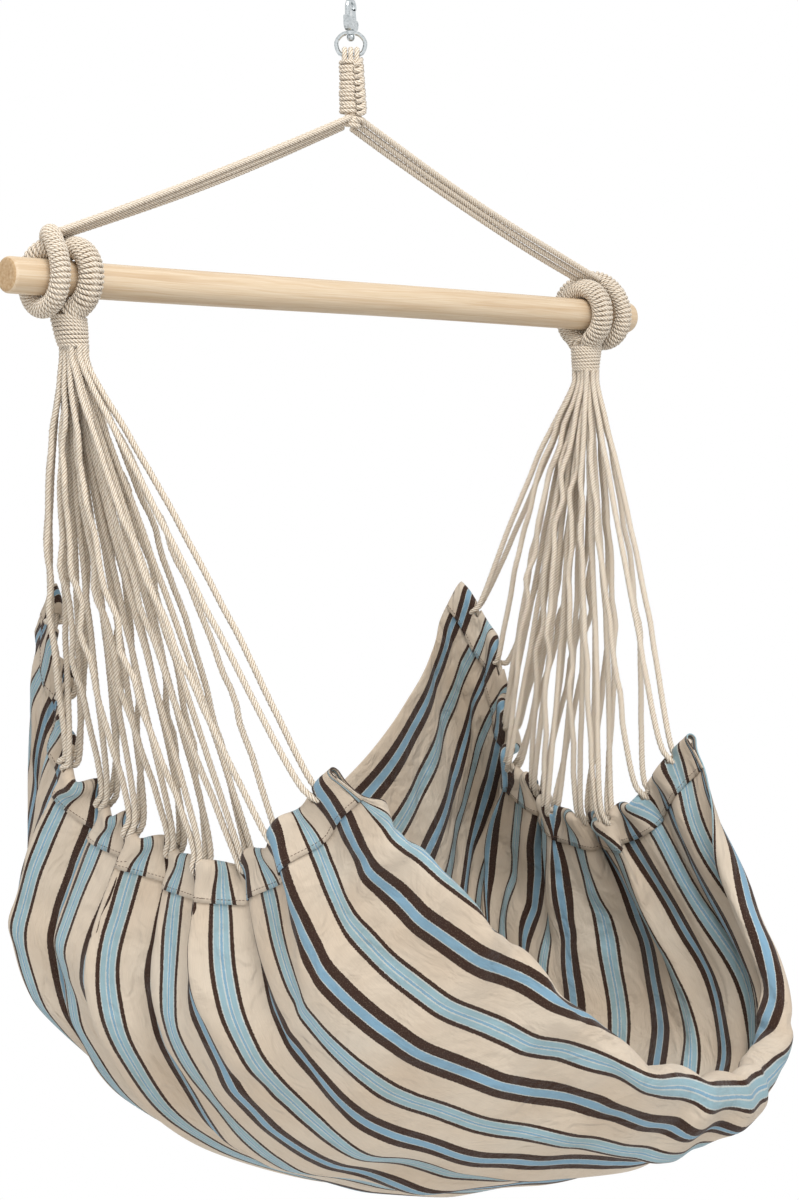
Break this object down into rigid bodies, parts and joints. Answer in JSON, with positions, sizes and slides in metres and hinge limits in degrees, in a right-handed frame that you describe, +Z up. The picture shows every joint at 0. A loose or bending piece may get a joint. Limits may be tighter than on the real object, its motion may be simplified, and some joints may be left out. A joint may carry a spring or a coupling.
{
  "type": "hammock chair",
  "caption": "Hanging hammock chair: striped canvas seat slung by rope fans from a wooden spreader bar, with a braided crown and a swivel snap hook.",
  "frame": {"origin": "where the snap hook bears on what holds it, on the inside of the hook's bend", "axes": "+Z up, +X along the spreader bar, -Y towards the sitter's front; the chair hangs below the origin"},
  "size_m": [1, 0.7113, 1.4125],
  "materials": {
    "zinc": "bright zinc plating, slightly worn",
    "wood": "pale pine, sanded and unvarnished, small knots",
    "rope": "undyed twisted cotton rope",
    "canvas": "heavy cotton canvas, cream with brown and light blue stripes"
  },
  "bodies": {
    "hook": {"snap_hook": "zinc", "gate_pin": "zinc", "gate_spring": "zinc", "swivel_rivet": "zinc"},
    "gate": {"hook_gate": "zinc"},
    "eye": {"swivel_eye": "zinc"},
    "chair": {"crown_loop_1": "rope", "crown_loop_2": "rope", "crown_loop_3": "rope", "crown_neck": "rope", "crown_winding": "rope", "crown_spine": "rope", "crown_knot": "rope", "upper_rope_left_1": "rope", "upper_rope_left_2": "rope", "upper_rope_left_3": "rope", "upper_rope_right_1": "rope", "upper_rope_right_2": "rope", "upper_rope_right_3": "rope", "spreader_bar": "wood", "hitch_core_left": "rope", "hitch_core_right": "rope", "hitch_bight_left": "rope", "hitch_bight_right": "rope", "hitch_serving_outer_left": "rope", "hitch_serving_inner_left": "rope", "hitch_serving_outer_right": "rope", "hitch_serving_inner_right": "rope", "collar_whipping_left": "rope", "collar_whipping_right": "rope", "fan_rope_left_1": "rope", "fan_rope_left_2": "rope", "fan_rope_left_3": "rope", "fan_rope_left_4": "rope", "fan_rope_left_5": "rope", "fan_rope_left_6": "rope", "fan_rope_left_7": "rope", "fan_rope_left_8": "rope", "fan_rope_left_9": "rope", "fan_rope_left_10": "rope", "fan_rope_right_1": "rope", "fan_rope_right_2": "rope", "fan_rope_right_3": "rope", "fan_rope_right_4": "rope", "fan_rope_right_5": "rope", "fan_rope_right_6": "rope", "fan_rope_right_7": "rope", "fan_rope_right_8": "rope", "fan_rope_right_9": "rope", "fan_rope_right_10": "rope", "hem_cord_left": "rope", "hem_cord_right": "rope", "hem_sleeve_left": "canvas", "hem_sleeve_right": "canvas", "seat_cloth": "canvas"}
  },
  "joints": [
    {"name": "gate_hinge", "type": "hinge", "parent": "hook", "child": "gate", "pos_m": [0.00943, 0.00439, -0.0246], "axis": [0.4226, -0.9063, 0], "range_deg": [0, 22], "stiffness_Nm_per_rad": 0.02, "springref_deg": -17.19, "deforming": ["gate_spring"]},
    {"name": "eye_swivel", "type": "hinge", "parent": "hook", "child": "eye", "pos_m": [0, 0, -0.0355], "axis": [0, 0, 1], "continuous": true},
    {"name": "chair_swing", "type": "hinge", "parent": "eye", "child": "chair", "pos_m": [0, 0, -0.0619], "axis": [0.7266, -0.6871, 0], "range_deg": [-25, 25]}
  ]
}
